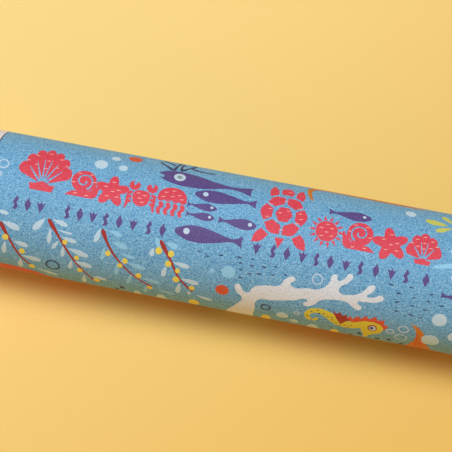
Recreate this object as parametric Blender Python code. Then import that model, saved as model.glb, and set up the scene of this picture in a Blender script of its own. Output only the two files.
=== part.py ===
"""A cardboard-tube kaleidoscope with a turning object cell, lying on its side.

The tube's axis runs along X, with the eyepiece at +X and the turning cell at -X. Z is up,
and the tube lies on z = 0. Every turned piece is a regular prism with a flat side down, so
that the tube rests without rolling, and its radii are measured to the flats.
"""

import math

import bmesh
import bpy
from mathutils import Euler, Matrix, Vector

MM = 0.001

# The whole toy
LENGTH = 210 * MM
OUTER_RADIUS = 25 * MM
CELL_LENGTH = 26 * MM
GAP = 0.3 * MM                 # between pieces that touch
RUNNING_GAP = 0.4 * MM         # between pieces that turn against each other
SIDES = 36                     # flat sides round a turned piece

# Paper, card and board
PAPER = 0.4 * MM
TUBE_WALL = 2 * MM
CARD = 0.8 * MM
BAFFLE_THICKNESS = 1.5 * MM
BAFFLE_HOLE_RADIUS = 7.5 * MM

# Eyepiece
CAP_RECESS = 1 * MM            # from the tube's end to the cap's rim
CAP_DEPTH = 12 * MM
CAP_RIM_WIDTH = 2 * MM
CAP_DISH_DEPTH = 2.2 * MM
CAP_PLATE = 4.6 * MM
CAP_SKIRT_WALL = 1.6 * MM
PEEPHOLE_RADIUS = 7 * MM
PEEPHOLE_CHAMFER = 1.2 * MM
BOSS_INNER_RADIUS = 10.3 * MM
BOSS_WALL = 1.7 * MM
BOSS_DEPTH = 3.9 * MM
RETAINING_RING_INNER = 7.2 * MM
RETAINING_RING_DEPTH = 1.9 * MM
PANE = 1 * MM                  # thickness of every clear or frosted disc

# Mirrors
MIRROR_REACH = 8 * MM          # from the tube's axis to a mirror's face
MIRROR_THICKNESS = 2 * MM
SLEEVE_CORNER_REACH = 18 * MM  # from the axis to the sleeve's flattened corners
PAD_LENGTH = 12 * MM
PAD_HALF_WIDTH = 11 * MM
PAD_ARC_STEPS = 8
FRONT_PADS_X = 74 * MM
REAR_PADS_X = -46 * MM

# Collar that the cell turns on
COLLAR_OUTER_RADIUS = 20 * MM
COLLAR_WALL = 1.4 * MM
COLLAR_INSIDE_TUBE = 17 * MM
COLLAR_OUTSIDE_TUBE = 7 * MM
FLANGE_OUTER_RADIUS = 21.8 * MM
FLANGE_WIDTH = 1.5 * MM
TUBE_WINDOW_INSET = 2 * MM     # from the collar's end to the window in it

# Turning cell
SEAT_INNER_RADIUS = 19 * MM
SEAT_WIDTH = 0.7 * MM
CHAMBER_RADIUS = 20 * MM
CHAMBER_DEPTH = 10 * MM
RIM_INNER_RADIUS = 19.2 * MM
RIM_MOUTH_RADIUS = 20.8 * MM
RIM_RECESS = 0.4 * MM

# Loose pieces, in rows round the bottom of the chamber: row radius, number, degrees between
BEAD_RADIUS = 2.6 * MM
BEAD_HALF_THICKNESS = 1.2 * MM
BEAD_ROWS = ((16.2 * MM, 7, 22.5), (10.2 * MM, 4, 36.0), (4.3 * MM, 1, 0.0))

# Places along the axis, and radii, that follow from the sizes above
EYE_END = LENGTH / 2
CELL_END = -LENGTH / 2
TUBE_START = CELL_END + CELL_LENGTH
CELL_FACE = TUBE_START - RUNNING_GAP
PAPER_INNER_RADIUS = OUTER_RADIUS - PAPER
TUBE_OUTER_RADIUS = PAPER_INNER_RADIUS - GAP
TUBE_INNER_RADIUS = TUBE_OUTER_RADIUS - TUBE_WALL
PLUG_RADIUS = TUBE_INNER_RADIUS - GAP
CAP_FRONT = EYE_END - CAP_RECESS
CAP_SKIRT_END = CAP_FRONT - CAP_DEPTH
CAP_PLATE_BACK = CAP_FRONT - CAP_PLATE
BAFFLE_FRONT = CAP_SKIRT_END - GAP
MIRROR_FRONT = BAFFLE_FRONT - BAFFLE_THICKNESS - GAP
COLLAR_END = TUBE_START - COLLAR_OUTSIDE_TUBE
COLLAR_INNER_RADIUS = COLLAR_OUTER_RADIUS - COLLAR_WALL
TUBE_WINDOW_X = COLLAR_END + TUBE_WINDOW_INSET
MIRROR_BACK = TUBE_WINDOW_X + PANE + GAP
FLANGE_BACK = COLLAR_END + GAP
FLANGE_FACE = FLANGE_BACK + FLANGE_WIDTH
CELL_BORE_RADIUS = PLUG_RADIUS + RUNNING_GAP
CELL_PLUG_RADIUS = CELL_BORE_RADIUS - GAP
SEAT_FACE = COLLAR_END - RUNNING_GAP
INNER_WINDOW_FACE = SEAT_FACE - SEAT_WIDTH - GAP
CHAMBER_FACE = INNER_WINDOW_FACE - PANE - GAP
CHAMBER_BACK = CHAMBER_FACE - CHAMBER_DEPTH
OUTER_WINDOW_FACE = CHAMBER_BACK - GAP
RIM_FACE = OUTER_WINDOW_FACE - PANE - GAP
RIM_BACK = CELL_END + RIM_RECESS


def clear_scene():
    for old in list(bpy.data.objects):
        bpy.data.objects.remove(old)


def make_material(name, colour, roughness, metallic=0.0, alpha=1.0):
    """A Principled material with one colour, given as linear red, green and blue."""
    material = bpy.data.materials.new(name)
    material.use_nodes = True
    shader = material.node_tree.nodes["Principled BSDF"]
    shader.inputs["Base Color"].default_value = (*colour, 1.0)
    shader.inputs["Roughness"].default_value = roughness
    shader.inputs["Metallic"].default_value = metallic
    shader.inputs["Alpha"].default_value = alpha
    return material


def make_axis(name):
    """An empty on the tube's axis, which the pieces of one body hang on."""
    axis = bpy.data.objects.new(name, None)
    axis.location = (0, 0, OUTER_RADIUS)
    bpy.context.scene.collection.objects.link(axis)
    return axis


def add_piece(name, bm, material, axis, smooth=False):
    """Turns a bmesh modelled round the X axis into a named piece on its body's axis."""
    bmesh.ops.remove_doubles(bm, verts=bm.verts, dist=0.001 * MM)
    bmesh.ops.recalc_face_normals(bm, faces=bm.faces)
    mesh = bpy.data.meshes.new(name)
    bm.to_mesh(mesh)
    bm.free()
    if smooth:
        mesh.shade_smooth()
        mesh.set_sharp_from_angle(angle=math.radians(30))
    mesh.materials.append(material)
    piece = bpy.data.objects.new(name, mesh)
    bpy.context.scene.collection.objects.link(piece)
    piece.parent = axis
    return piece


def spin_profile(profile, sides):
    """A closed outline of (x, radius to the flats) points, spun round X with a flat down."""
    bm = bmesh.new()
    half_side = math.pi / sides
    start = Matrix.Rotation(half_side, 3, "X")
    to_corner = 1 / math.cos(half_side)
    corners = [bm.verts.new(start @ Vector((x, 0, -radius * to_corner))) for x, radius in profile]
    edges = []
    for index, corner in enumerate(corners):
        following = corners[(index + 1) % len(corners)]
        if index + 1 < len(corners) or profile[0][1] > 0:
            edges.append(bm.edges.new((corner, following)))
    bmesh.ops.spin(
        bm,
        geom=corners + edges,
        cent=(0, 0, 0),
        axis=(1, 0, 0),
        angle=2 * math.pi,
        steps=sides,
        use_merge=True,
    )
    return bm


def turned_piece(name, profile, material, axis):
    return add_piece(name, spin_profile(profile, SIDES), material, axis, smooth=True)


def ring(name, x_low, x_high, inner, outer, material, axis):
    profile = ((x_low, inner), (x_low, outer), (x_high, outer), (x_high, inner))
    return turned_piece(name, profile, material, axis)


def disc(name, x_low, x_high, radius, material, axis):
    profile = ((x_low, 0), (x_low, radius), (x_high, radius), (x_high, 0))
    return turned_piece(name, profile, material, axis)


def prism(outline, x_low, x_high):
    """A flat outline of (y, z) points, extruded along X."""
    bm = bmesh.new()
    face = bm.faces.new([bm.verts.new((x_low, y, z)) for y, z in outline])
    extruded = bmesh.ops.extrude_face_region(bm, geom=[face])
    moved = [item for item in extruded["geom"] if isinstance(item, bmesh.types.BMVert)]
    bmesh.ops.translate(bm, verts=moved, vec=(x_high - x_low, 0, 0))
    return bm


def around(index, count, start=-90.0):
    """The direction of one of count places round the axis, counted from straight down."""
    angle = math.radians(start + 360 * index / count)
    return Vector((0, math.cos(angle), math.sin(angle)))


def tube_shells(materials, tube, cell):
    """Two board tubes end to end, each with its paper: the printed wrap and the pale cover."""
    ring("printed_wrap", TUBE_START, EYE_END, PAPER_INNER_RADIUS, OUTER_RADIUS,
         materials["printed_paper"], tube)
    ring("main_tube", TUBE_START, EYE_END, TUBE_INNER_RADIUS, TUBE_OUTER_RADIUS,
         materials["board"], tube)
    ring("cell_cover_paper", CELL_END, CELL_FACE, PAPER_INNER_RADIUS, OUTER_RADIUS,
         materials["pale_paper"], cell)
    ring("cell_sleeve", CELL_END, CELL_FACE, CELL_BORE_RADIUS, TUBE_OUTER_RADIUS,
         materials["board"], cell)


def eyepiece(materials, tube):
    """The moulded cap with its dished face and peephole, and the window held in its boss."""
    boss_outer = BOSS_INNER_RADIUS + BOSS_WALL
    skirt_inner = PLUG_RADIUS - CAP_SKIRT_WALL
    boss_back = CAP_PLATE_BACK - BOSS_DEPTH
    dish_bottom = CAP_FRONT - CAP_DISH_DEPTH
    profile = (
        (CAP_SKIRT_END, PLUG_RADIUS),
        (CAP_FRONT, PLUG_RADIUS),
        (CAP_FRONT, PLUG_RADIUS - CAP_RIM_WIDTH),
        (dish_bottom, PEEPHOLE_RADIUS + PEEPHOLE_CHAMFER),
        (dish_bottom - PEEPHOLE_CHAMFER, PEEPHOLE_RADIUS),
        (CAP_PLATE_BACK, PEEPHOLE_RADIUS),
        (CAP_PLATE_BACK, BOSS_INNER_RADIUS),
        (boss_back, BOSS_INNER_RADIUS),
        (boss_back, boss_outer),
        (CAP_PLATE_BACK, boss_outer),
        (CAP_PLATE_BACK, skirt_inner),
        (CAP_SKIRT_END, skirt_inner),
    )
    turned_piece("eyepiece_cap", profile, materials["cap_plastic"], tube)
    window_front = CAP_PLATE_BACK - GAP
    ring_front = window_front - PANE - GAP
    pane_radius = BOSS_INNER_RADIUS - GAP
    disc("eyepiece_window", window_front - PANE, window_front, pane_radius,
         materials["clear_plastic"], tube)
    ring("eyepiece_retaining_ring", ring_front - RETAINING_RING_DEPTH, ring_front,
         RETAINING_RING_INNER, pane_radius, materials["cap_plastic"], tube)
    ring("front_baffle", BAFFLE_FRONT - BAFFLE_THICKNESS, BAFFLE_FRONT,
         BAFFLE_HOLE_RADIUS, PLUG_RADIUS, materials["black_card"], tube)


def mirrors(materials, tube):
    """Three long mirrors in a triangle, whose silvered faces look at the tube's axis."""
    width = 2 * math.sqrt(3) * MIRROR_REACH - GAP
    middle = (MIRROR_FRONT + MIRROR_BACK) / 2
    length = MIRROR_FRONT - MIRROR_BACK
    for index in range(3):
        turn = Matrix.Rotation(index * 2 * math.pi / 3, 4, "X")
        place = Matrix.Translation((middle, 0, -MIRROR_REACH - MIRROR_THICKNESS / 2))
        size = Matrix.Diagonal((length, width, MIRROR_THICKNESS, 1))
        bm = bmesh.new()
        bmesh.ops.create_cube(bm, size=1, matrix=turn @ place @ size)
        add_piece(f"mirror_strip_{index + 1}", bm, materials["mirror"], tube)


def cut_triangle(reach, corner_reach):
    """A triangle whose sides are reach from the axis, its corners cut flat at corner_reach."""
    points = []
    along = (reach - corner_reach / 2) / math.sin(math.radians(60))
    for index in range(3):
        out = around(index, 3, start=90.0)
        side = Vector((0, -out.z, out.y))
        for sign in (-1, 1):
            point = out * corner_reach + side * sign * along
            points.append((point.y, point.z))
    return points


def mirror_sleeve(materials, tube):
    """The folded card sleeve round the mirrors, an open triangular tube."""
    inner_reach = MIRROR_REACH + MIRROR_THICKNESS + GAP
    outlines = (
        cut_triangle(inner_reach + CARD, SLEEVE_CORNER_REACH),
        cut_triangle(inner_reach, SLEEVE_CORNER_REACH - CARD),
    )
    bm = bmesh.new()
    for x in (MIRROR_BACK, MIRROR_FRONT):
        loops = []
        for outline in outlines:
            corners = [bm.verts.new((x, y, z)) for y, z in outline]
            pairs = zip(corners, corners[1:] + corners[:1])
            loops += [bm.edges.new(pair) for pair in pairs]
        bmesh.ops.bridge_loops(bm, edges=loops)
    border = [edge for edge in bm.edges if len(edge.link_faces) == 1]
    outer = [edge for edge in border if is_outer_edge(edge, inner_reach)]
    inner = [edge for edge in border if edge not in outer]
    bmesh.ops.bridge_loops(bm, edges=outer)
    bmesh.ops.bridge_loops(bm, edges=inner)
    add_piece("mirror_card_sleeve", bm, materials["black_card"], tube)


def is_outer_edge(edge, inner_reach):
    """Whether an end edge of the sleeve lies on its outer outline."""
    middle = (edge.verts[0].co + edge.verts[1].co) / 2
    reach = Vector((middle.y, middle.z)).length
    limits = (inner_reach + CARD / 2, SLEEVE_CORNER_REACH - CARD / 2)
    on_side = edge.calc_length() > inner_reach
    return reach > (limits[0] if on_side else limits[1])


def pads(materials, tube):
    """Foam pads between the sleeve's flat sides and the round tube, three at each end."""
    bottom = MIRROR_REACH + MIRROR_THICKNESS + GAP + CARD + GAP
    half_angle = math.asin(PAD_HALF_WIDTH / PLUG_RADIUS)
    outline = [(PAD_HALF_WIDTH, -bottom), (-PAD_HALF_WIDTH, -bottom)]
    for step in range(PAD_ARC_STEPS + 1):
        angle = half_angle * (2 * step / PAD_ARC_STEPS - 1)
        outline.append((PLUG_RADIUS * math.sin(angle), -PLUG_RADIUS * math.cos(angle)))
    for place, x in (("front", FRONT_PADS_X), ("rear", REAR_PADS_X)):
        for index in range(3):
            bm = prism(outline, x, x + PAD_LENGTH)
            turn = Matrix.Rotation(index * 2 * math.pi / 3, 3, "X")
            bmesh.ops.rotate(bm, verts=bm.verts, cent=(0, 0, 0), matrix=turn)
            add_piece(f"{place}_pad_{index + 1}", bm, materials["foam"], tube)


def collar(materials, tube):
    """The short inner tube that the cell turns on, with its flange, packing and window."""
    collar_back = TUBE_START + COLLAR_INSIDE_TUBE
    ring("bearing_collar", COLLAR_END, collar_back, COLLAR_INNER_RADIUS, COLLAR_OUTER_RADIUS,
         materials["board"], tube)
    ring("collar_packing_ring", TUBE_START, collar_back, COLLAR_OUTER_RADIUS + GAP, PLUG_RADIUS,
         materials["board"], tube)
    ring("collar_flange", FLANGE_BACK, FLANGE_FACE, COLLAR_OUTER_RADIUS + GAP,
         FLANGE_OUTER_RADIUS, materials["cap_plastic"], tube)
    disc("tube_end_window", TUBE_WINDOW_X, TUBE_WINDOW_X + PANE, COLLAR_INNER_RADIUS - GAP,
         materials["clear_plastic"], tube)


def turning_cell(materials, cell):
    """What is glued into the cell's sleeve: two rings, two panes, the spacer and the rim."""
    ring("cell_keeper_ring", FLANGE_FACE + RUNNING_GAP, CELL_FACE,
         COLLAR_OUTER_RADIUS + RUNNING_GAP, CELL_PLUG_RADIUS, materials["cap_plastic"], cell)
    ring("cell_seat_ring", SEAT_FACE - SEAT_WIDTH, SEAT_FACE, SEAT_INNER_RADIUS,
         CELL_PLUG_RADIUS, materials["black_card"], cell)
    disc("cell_inner_window", INNER_WINDOW_FACE - PANE, INNER_WINDOW_FACE, CELL_PLUG_RADIUS,
         materials["clear_plastic"], cell)
    ring("cell_spacer_ring", CHAMBER_BACK, CHAMBER_FACE, CHAMBER_RADIUS, CELL_PLUG_RADIUS,
         materials["board"], cell)
    disc("cell_outer_window", OUTER_WINDOW_FACE - PANE, OUTER_WINDOW_FACE, CELL_PLUG_RADIUS,
         materials["frosted_plastic"], cell)
    rim_profile = (
        (RIM_BACK, RIM_MOUTH_RADIUS),
        (RIM_BACK, CELL_PLUG_RADIUS),
        (RIM_FACE, CELL_PLUG_RADIUS),
        (RIM_FACE, RIM_INNER_RADIUS),
    )
    turned_piece("cell_end_rim", rim_profile, materials["cap_plastic"], cell)


def outline_bead(points, depth=0.0, waves=0):
    """A flat bead: a polygon whose radius dips by depth between its waves."""
    outline = []
    for index in range(points):
        angle = 2 * math.pi * index / points
        radius = BEAD_RADIUS * (1 - depth * (1 - math.cos(waves * angle)) / 2)
        outline.append((radius * math.cos(angle), radius * math.sin(angle)))
    return prism(outline, -BEAD_HALF_THICKNESS, BEAD_HALF_THICKNESS)


def turned_bead(shape):
    """A bead turned on its own axis, from (x, radius) points in shares of its radius."""
    profile = [(x * BEAD_RADIUS, radius * BEAD_RADIUS) for x, radius in shape]
    return spin_profile(profile, 12)


def bead_shapes():
    """Every loose piece: its name, its colour and its bmesh."""
    ball = [(-math.cos(math.radians(a)), math.sin(math.radians(a))) for a in range(0, 181, 30)]
    barrel = [(-0.9, 0), (-0.9, 0.45), (-0.4, 0.7), (0.4, 0.7), (0.9, 0.45), (0.9, 0)]
    cone_pair = [(-1.0, 0), (0, 0.85), (1.0, 0)]
    drop = [(-0.7, 0), (-0.55, 0.5), (-0.1, 0.65), (0.35, 0.4), (1.0, 0)]
    bugle = [(-0.95, 0.2), (-0.95, 0.45), (0.95, 0.45), (0.95, 0.2)]
    hoop = [(-0.3, 0.45), (-0.3, 0.9), (0.3, 0.9), (0.3, 0.45)]
    return (
        ("star_bead", "red_bead", outline_bead(10, 0.55, 5)),
        ("ball_bead", "yellow_bead", turned_bead(ball)),
        ("flower_bead", "violet_bead", outline_bead(30, 0.3, 6)),
        ("square_bead", "blue_bead", outline_bead(4)),
        ("bugle_bead", "green_bead", turned_bead(bugle)),
        ("triangle_bead", "yellow_bead", outline_bead(3)),
        ("cone_pair_bead", "red_bead", turned_bead(cone_pair)),
        ("hexagon_bead", "green_bead", outline_bead(6)),
        ("hoop_bead", "violet_bead", turned_bead(hoop)),
        ("drop_bead", "blue_bead", turned_bead(drop)),
        ("disc_bead", "red_bead", outline_bead(18)),
        ("barrel_bead", "blue_bead", turned_bead(barrel)),
    )


def loose_pieces(materials, heap):
    """The loose pieces, heaped in curved rows at the bottom of the cell's chamber."""
    places = []
    for radius, count, spacing in BEAD_ROWS:
        for index in range(count):
            angle = math.radians(spacing * (index - (count - 1) / 2))
            places.append((radius * math.sin(angle), -radius * math.cos(angle)))
    middle = (CHAMBER_FACE + CHAMBER_BACK) / 2
    for index, ((y, z), (name, colour, bm)) in enumerate(zip(places, bead_shapes())):
        x = middle + (index % 3 - 1) * 0.5 * BEAD_RADIUS
        turn = Euler((0.7 * index, 1.1 * index, 0.4 * index)).to_matrix().to_4x4()
        bmesh.ops.transform(bm, matrix=Matrix.Translation((x, y, z)) @ turn, verts=bm.verts)
        add_piece(name, bm, materials[colour], heap)


def main():
    clear_scene()
    materials = {
        "printed_paper": make_material("printed_paper", (0.14, 0.38, 0.55), 0.6),
        "pale_paper": make_material("pale_paper", (0.83, 0.81, 0.88), 0.6),
        "board": make_material("board", (0.55, 0.47, 0.36), 0.85),
        "black_card": make_material("black_card", (0.02, 0.02, 0.022), 0.9),
        "cap_plastic": make_material("cap_plastic", (0.86, 0.86, 0.87), 0.35),
        "clear_plastic": make_material("clear_plastic", (0.95, 0.97, 0.98), 0.05, alpha=0.3),
        "frosted_plastic": make_material("frosted_plastic", (0.93, 0.94, 0.96), 0.5, alpha=0.7),
        "mirror": make_material("mirror", (0.9, 0.92, 0.93), 0.03, metallic=1.0),
        "foam": make_material("foam", (0.35, 0.36, 0.38), 0.95),
        "red_bead": make_material("red_bead", (0.72, 0.03, 0.06), 0.12),
        "yellow_bead": make_material("yellow_bead", (0.86, 0.55, 0.03), 0.12),
        "violet_bead": make_material("violet_bead", (0.2, 0.07, 0.42), 0.12),
        "blue_bead": make_material("blue_bead", (0.03, 0.22, 0.62), 0.12),
        "green_bead": make_material("green_bead", (0.03, 0.42, 0.16), 0.12),
    }
    tube = make_axis("tube_axis")
    cell = make_axis("cell_axis")
    heap = make_axis("heap_axis")
    cell.parent = tube
    cell.location = (0, 0, 0)
    heap.parent = cell
    heap.location = (0, 0, 0)
    tube_shells(materials, tube, cell)
    eyepiece(materials, tube)
    mirrors(materials, tube)
    mirror_sleeve(materials, tube)
    pads(materials, tube)
    collar(materials, tube)
    turning_cell(materials, cell)
    loose_pieces(materials, heap)


main()
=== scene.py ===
import math

import bpy
from mathutils import Matrix, Vector


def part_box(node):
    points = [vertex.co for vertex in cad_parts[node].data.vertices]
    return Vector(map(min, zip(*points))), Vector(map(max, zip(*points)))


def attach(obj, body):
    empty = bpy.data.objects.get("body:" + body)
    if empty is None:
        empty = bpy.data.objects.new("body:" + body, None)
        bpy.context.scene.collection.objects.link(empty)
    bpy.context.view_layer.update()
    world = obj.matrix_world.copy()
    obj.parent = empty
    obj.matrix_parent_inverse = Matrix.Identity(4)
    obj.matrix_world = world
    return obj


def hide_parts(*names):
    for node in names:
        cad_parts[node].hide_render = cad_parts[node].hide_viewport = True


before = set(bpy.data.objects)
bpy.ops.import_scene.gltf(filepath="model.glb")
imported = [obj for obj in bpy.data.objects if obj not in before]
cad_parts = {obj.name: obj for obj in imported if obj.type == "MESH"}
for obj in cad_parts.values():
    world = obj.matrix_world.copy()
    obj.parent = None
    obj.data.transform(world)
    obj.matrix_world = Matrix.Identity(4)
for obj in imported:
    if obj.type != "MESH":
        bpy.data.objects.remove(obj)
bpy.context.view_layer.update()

MM = 0.001

# ---------------------------------------------------------------------------------------------
# Main tube. Spiral-wound grey-brown cardboard, 2 mm thick, made of glued plies that show as
# fine rings on its cut ends and as a slanting seam inside. The other pieces are glued in it.
# ---------------------------------------------------------------------------------------------
wrap_low, wrap_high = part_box("printed_wrap")
AXIS_HEIGHT = (wrap_low[2] + wrap_high[2]) / 2
OUTER_RADIUS = (wrap_high[2] - wrap_low[2]) / 2
TUBE_BORE = 22.3 * MM
PLY = 1.1 * MM            # drawn about twice as coarse as the real plies, so that they show
SPIRAL_SEAM = 58 * MM     # how far one turn of the board's spiral goes along the tube
BOARD_FIBRE = 0.5 * MM
BOARD_EDGE = 0.25 * MM


def srgb(code):
    """A hex colour as linear red, green, blue and alpha."""
    values = [int(code[i:i + 2], 16) / 255 for i in (1, 3, 5)]
    linear = [v / 12.92 if v <= 0.04045 else ((v + 0.055) / 1.055) ** 2.4 for v in values]
    return (*linear, 1.0)


def add_node(tree, kind, inputs=None, **settings):
    """Adds a node with its settings. An input is given a value, or the output that feeds it."""
    node = tree.nodes.new(kind)
    for name, value in settings.items():
        setattr(node, name, value)
    for key, value in (inputs or {}).items():
        if isinstance(value, bpy.types.NodeSocket):
            tree.links.new(value, node.inputs[key])
        else:
            node.inputs[key].default_value = value
    return node


def new_material(name, **sockets):
    """A new material, its node tree, its Principled shader and its Object coordinates."""
    material = bpy.data.materials.new(name)
    material.use_nodes = True
    tree = material.node_tree
    shader = tree.nodes["Principled BSDF"]
    for socket, value in sockets.items():
        shader.inputs[socket.replace("_", " ")].default_value = value
    return material, tree, shader, add_node(tree, "ShaderNodeTexCoord").outputs["Object"]


def compute(tree, operation, *values):
    return add_node(tree, "ShaderNodeMath", dict(enumerate(values)), operation=operation).outputs[0]


def shifted(tree, place, **settings):
    return add_node(tree, "ShaderNodeMapping", {"Vector": place, **settings}).outputs[0]


def split(tree, place):
    return add_node(tree, "ShaderNodeSeparateXYZ", {"Vector": place}).outputs


def noise(tree, place, size, detail, roughness=0.5, distortion=0.0):
    """A cloudy pattern whose patches are about as wide as the given size."""
    return add_node(tree, "ShaderNodeTexNoise", {
        "Vector": place, "Scale": 1 / size, "Detail": detail, "Roughness": roughness,
        "Distortion": distortion}).outputs["Fac"]


def ramp(tree, value, low, high, start=0.0, end=1.0, **settings):
    """A pattern that goes from start to end while its value goes from low to high."""
    return add_node(tree, "ShaderNodeMapRange", {
        "Value": value, "From Min": low, "From Max": high, "To Min": start, "To Max": end},
        **settings).outputs[0]


def mix(tree, share, first, second):
    """Mixes two colours, each of which is a hex code or the output of another mix."""
    first, second = (srgb(c) if isinstance(c, str) else c for c in (first, second))
    return add_node(tree, "ShaderNodeMix", {0: share, 6: first, 7: second},
                    data_type="RGBA").outputs[2]


def paint(tree, shader, colour):
    tree.links.new(colour, shader.inputs["Base Color"])


def emboss(tree, shader, height, strength, depth):
    bump = add_node(tree, "ShaderNodeBump", {
        "Height": height, "Strength": strength, "Distance": depth})
    tree.links.new(bump.outputs[0], shader.inputs["Normal"])


def select_only(piece):
    bpy.ops.object.select_all(action="DESELECT")
    piece.select_set(True)
    bpy.context.view_layer.objects.active = piece


def round_edges(piece, width):
    """Rounds a piece's sharp edges and smooths its shading."""
    select_only(piece)
    rounding = piece.modifiers.new("rounding", "BEVEL")
    rounding.width = width
    rounding.segments = 3
    rounding.limit_method = "ANGLE"
    rounding.angle_limit = math.radians(25)
    bpy.ops.object.modifier_apply(modifier="rounding")
    bpy.ops.object.shade_smooth_by_angle(angle=math.radians(35))
    return piece


def turned(name, profile, edge, steps=180):
    """An outline of (x, radius) points, drawn as a line and spun round the tube's axis."""
    line = bpy.data.curves.new(name, "CURVE")
    line.dimensions = "3D"
    spline = line.splines.new("POLY")
    spline.points.add(len(profile) - 1)
    for point, (x, radius) in zip(spline.points, profile):
        point.co = (x, 0, AXIS_HEIGHT + radius, 1)
    spline.use_cyclic_u = min(radius for _, radius in profile) > 0
    piece = bpy.data.objects.new(name, line)
    bpy.context.scene.collection.objects.link(piece)
    select_only(piece)
    bpy.ops.object.convert(target="MESH")
    bpy.ops.object.mode_set(mode="EDIT")
    bpy.ops.mesh.select_all(action="SELECT")
    bpy.ops.mesh.spin(
        steps=steps, angle=2 * math.pi, center=(0, 0, AXIS_HEIGHT), axis=(1, 0, 0))
    bpy.ops.mesh.select_all(action="SELECT")
    bpy.ops.mesh.remove_doubles(threshold=0.002 * MM)
    bpy.ops.mesh.normals_make_consistent(inside=False)
    bpy.ops.object.mode_set(mode="OBJECT")
    return round_edges(bpy.context.object, edge)


def ring(name, x_low, x_high, inner, outer, edge, steps=180):
    """A plain turned ring, or a disc where there is no inner radius."""
    profile = [(x_low, inner), (x_low, outer), (x_high, outer), (x_high, inner)]
    return turned(name, profile, edge, steps)


def finish(piece, material, slot, body, *nodes):
    """Gives a piece its material, and says what it rides on and stands for. The slot is not used.
    """
    piece.data.materials.clear()
    piece.data.materials.append(material)
    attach(piece, body)
    if nodes:
        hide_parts(*nodes)
    return piece


def spiral_board():
    """Recycled board: dull and brownish, with short fibres, plies on its cut ends and a seam."""
    material, tree, shader, place = new_material(
        "spiral_wound_board", Roughness=0.88, Specular_IOR_Level=0.3)
    fibre = noise(tree, shifted(tree, place, Scale=(0.35, 1, 1)), BOARD_FIBRE, 5.0, 0.7)
    x, y, z = split(tree, shifted(tree, place, Location=(0, 0, -AXIS_HEIGHT)))
    across = add_node(tree, "ShaderNodeCombineXYZ", {"Y": y, "Z": z})
    radius = add_node(tree, "ShaderNodeVectorMath", {0: across.outputs[0]}, operation="LENGTH")
    phase = compute(tree, "MULTIPLY", radius.outputs["Value"], 2 * math.pi / PLY)
    plies = ramp(tree, compute(tree, "SINE", phase), -0.2, 1.0, 0.0, 0.6)
    share = compute(tree, "MULTIPLY", compute(tree, "ARCTAN2", y, z), 1 / (2 * math.pi))
    along = compute(tree, "MULTIPLY_ADD", x, 1 / SPIRAL_SEAM, share)
    seam = ramp(tree, compute(tree, "FRACT", along), 0.0, 0.012, 0.8, 0.0)
    lined = mix(tree, plies, mix(tree, fibre, "#8F7A5E", "#CDBB9C"), "#7B6850")
    paint(tree, shader, mix(tree, seam, lined, "#57483A"))
    emboss(tree, shader, fibre, 0.35, 0.08 * MM)
    return material


board = spiral_board()
tube_low, tube_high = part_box("main_tube")
TUBE_RADIUS = (tube_high[2] - tube_low[2]) / 2
PAPER_BACK = TUBE_RADIUS + 0.27 * MM     # the glue and paper that lie on the board
finish(ring("main_tube_board", tube_low[0], tube_high[0], TUBE_BORE, PAPER_BACK, BOARD_EDGE),
       board, "board", "tube", "main_tube")

# ---------------------------------------------------------------------------------------------
# Printed wrap. A sheet of uncoated paper, offset printed and rolled once round the tube. The
# print has a grain of teal, lavender and pale specks over its blue ground. Under the tube its
# edges lap by a few millimetres.
# ---------------------------------------------------------------------------------------------
SPECK = 0.6 * MM          # across one speck of the printed grain
PAPER_TOOTH = 0.18 * MM
PAPER_EDGE = 0.08 * MM
PAPER_STEPS = 360         # flat sides of a paper's round, too fine to see


def printed_ink(name, ground, dark, light, amount=0.5):
    """Matt ink on uncoated paper: a ground colour with darker and lighter specks in it."""
    material, tree, shader, place = new_material(
        name, Roughness=0.62, Specular_IOR_Level=0.3)
    dark_share = ramp(tree, noise(tree, place, SPECK, 2.0, 0.6), 0.5, 0.62, 0.0, amount)
    moved = shifted(tree, place, Location=(0.3, 0.7, 0.1))
    light_share = ramp(tree, noise(tree, moved, SPECK / 1.3, 2.0), 0.52, 0.64, 0.0, amount)
    darker = mix(tree, dark_share, ground, dark)
    paint(tree, shader, mix(tree, light_share, darker, light))
    emboss(tree, shader, noise(tree, place, PAPER_TOOTH, 3.0), 0.25, 0.03 * MM)
    return material


blue_paper = printed_ink("blue_printed_paper", "#6AAAD8", "#3C74AC", "#A0D0EA", 0.78)
finish(ring("printed_paper_wrap", wrap_low[0], wrap_high[0], PAPER_BACK, OUTER_RADIUS,
            PAPER_EDGE, PAPER_STEPS),
       blue_paper, "printed_paper", "tube", "printed_wrap")

# ---------------------------------------------------------------------------------------------
# The print's pictures. Each is drawn flat on the printer's sheet, in millimetres: x runs along
# the tube, and y runs round it from the tube's top line, towards the back. Then it is rolled
# on as a film of ink. Films that lie on others are higher.
# ---------------------------------------------------------------------------------------------
INK_FILM = 0.03 * MM
INK_SINK = 0.02 * MM      # how far a film reaches into the paper
STRIP = 1.25 * MM         # width of the flat strips that a rolled film is made of
SHEET_TO_BEND = Matrix(((0, -1, 0), (0, 0, -1), (1, 0, 0))).to_4x4()


def draw(sheet, points, corners=(), hole=()):
    """Adds an outline to a sheet, rounded but for its corners, which are indices or "all"."""
    curve = bpy.data.curves.new("outline", "CURVE")
    curve.dimensions = "2D"
    curve.fill_mode = "BOTH"
    curve.resolution_u = 5
    for loop in (points, hole):
        if loop:
            spline = curve.splines.new("BEZIER")
            spline.bezier_points.add(len(loop) - 1)
            spline.use_cyclic_u = True
            for index, (knot, (x, y)) in enumerate(zip(spline.bezier_points, loop)):
                knot.co = (x * MM, y * MM, 0)
                handle = "VECTOR" if corners == "all" or index in corners else "AUTO"
                knot.handle_left_type = knot.handle_right_type = handle
    sheet.append(curve)


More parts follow.
